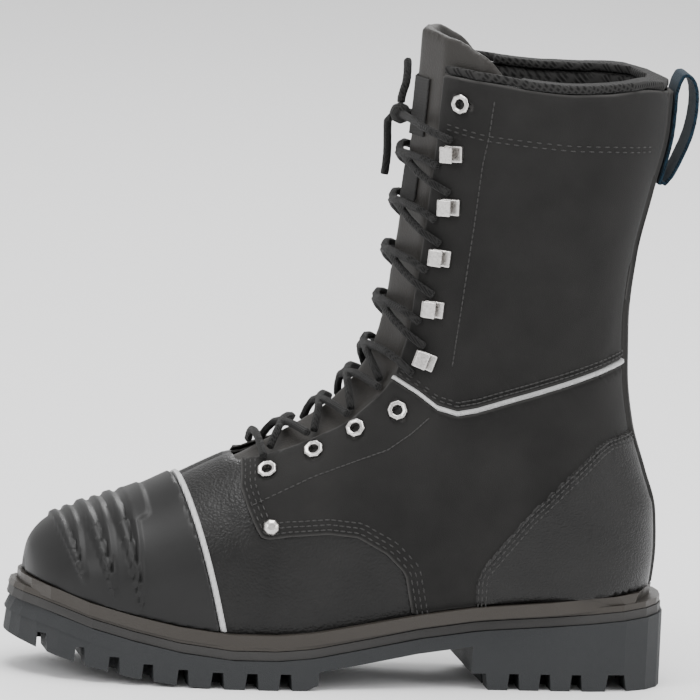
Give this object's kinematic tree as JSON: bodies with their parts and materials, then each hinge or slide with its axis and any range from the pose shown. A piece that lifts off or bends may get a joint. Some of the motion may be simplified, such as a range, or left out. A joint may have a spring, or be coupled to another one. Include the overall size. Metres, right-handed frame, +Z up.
{
  "type": "metatarsal guard boot",
  "caption": "Black leather lace-up work boot, shin high, with a ribbed rubber toe cap, speed hooks, a pull loop and a lugged heel and sole.",
  "frame": {"origin": "on the floor, on the heel's centre tread block", "axes": "+Z up, toe towards -X, the outer side of the foot towards -Y"},
  "size_m": [0.323, 0.1069, 0.3155],
  "materials": {
    "nubuck_leather": "matte oiled nubuck, charcoal black",
    "grained_leather": "pebble grained leather with a soft gloss",
    "cap_rubber": "smooth satin rubber, dark grey",
    "tread_rubber": "matte moulded rubber, faintly bluish black",
    "welt_rubber": "satin brown black rubber",
    "lining_fabric": "black knit mesh",
    "reflective_trim": "light grey reflective tape",
    "nickel": "nickel plated",
    "lace_cord": "black braided cord",
    "loop_webbing": "woven webbing, black with a blue outer face",
    "patch_fabric": "plain woven patch"
  },
  "bodies": {
    "root": {"quarter_outer": "nubuck_leather", "quarter_inner": "nubuck_leather", "shaft_panel_outer": "nubuck_leather", "shaft_panel_inner": "nubuck_leather", "backstay": "nubuck_leather", "tongue": "nubuck_leather", "upper": "grained_leather", "heel_counter_outer": "grained_leather", "heel_counter_inner": "grained_leather", "toe_cap": "cap_rubber", "outsole": "tread_rubber", "midsole": "welt_rubber", "welt": "welt_rubber", "insole": "lining_fabric", "collar_lining": "lining_fabric", "collar_binding": "lining_fabric", "toe_cap_strip": "reflective_trim", "piping_outer": "reflective_trim", "piping_inner": "reflective_trim", "eyelet_outer_1": "nickel", "eyelet_outer_2": "nickel", "eyelet_outer_3": "nickel", "eyelet_outer_4": "nickel", "eyelet_outer_5": "nickel", "eyelet_inner_1": "nickel", "eyelet_inner_2": "nickel", "eyelet_inner_3": "nickel", "eyelet_inner_4": "nickel", "eyelet_inner_5": "nickel", "hook_outer_1": "nickel", "hook_outer_2": "nickel", "hook_outer_3": "nickel", "hook_outer_4": "nickel", "hook_outer_5": "nickel", "hook_inner_1": "nickel", "hook_inner_2": "nickel", "hook_inner_3": "nickel", "hook_inner_4": "nickel", "hook_inner_5": "nickel", "rivet_outer": "nickel", "rivet_inner": "nickel", "lace_bar": "lace_cord", "lace_crossing_1": "lace_cord", "lace_crossing_2": "lace_cord", "lace_crossing_3": "lace_cord", "lace_crossing_4": "lace_cord", "lace_crossing_5": "lace_cord", "lace_crossing_6": "lace_cord", "lace_crossing_7": "lace_cord", "lace_crossing_8": "lace_cord", "lace_knot": "lace_cord", "lace_end_1": "lace_cord", "lace_end_2": "lace_cord", "pull_loop": "loop_webbing", "tongue_patch_upper": "patch_fabric", "tongue_patch_lower": "patch_fabric"}
  },
  "joints": []
}
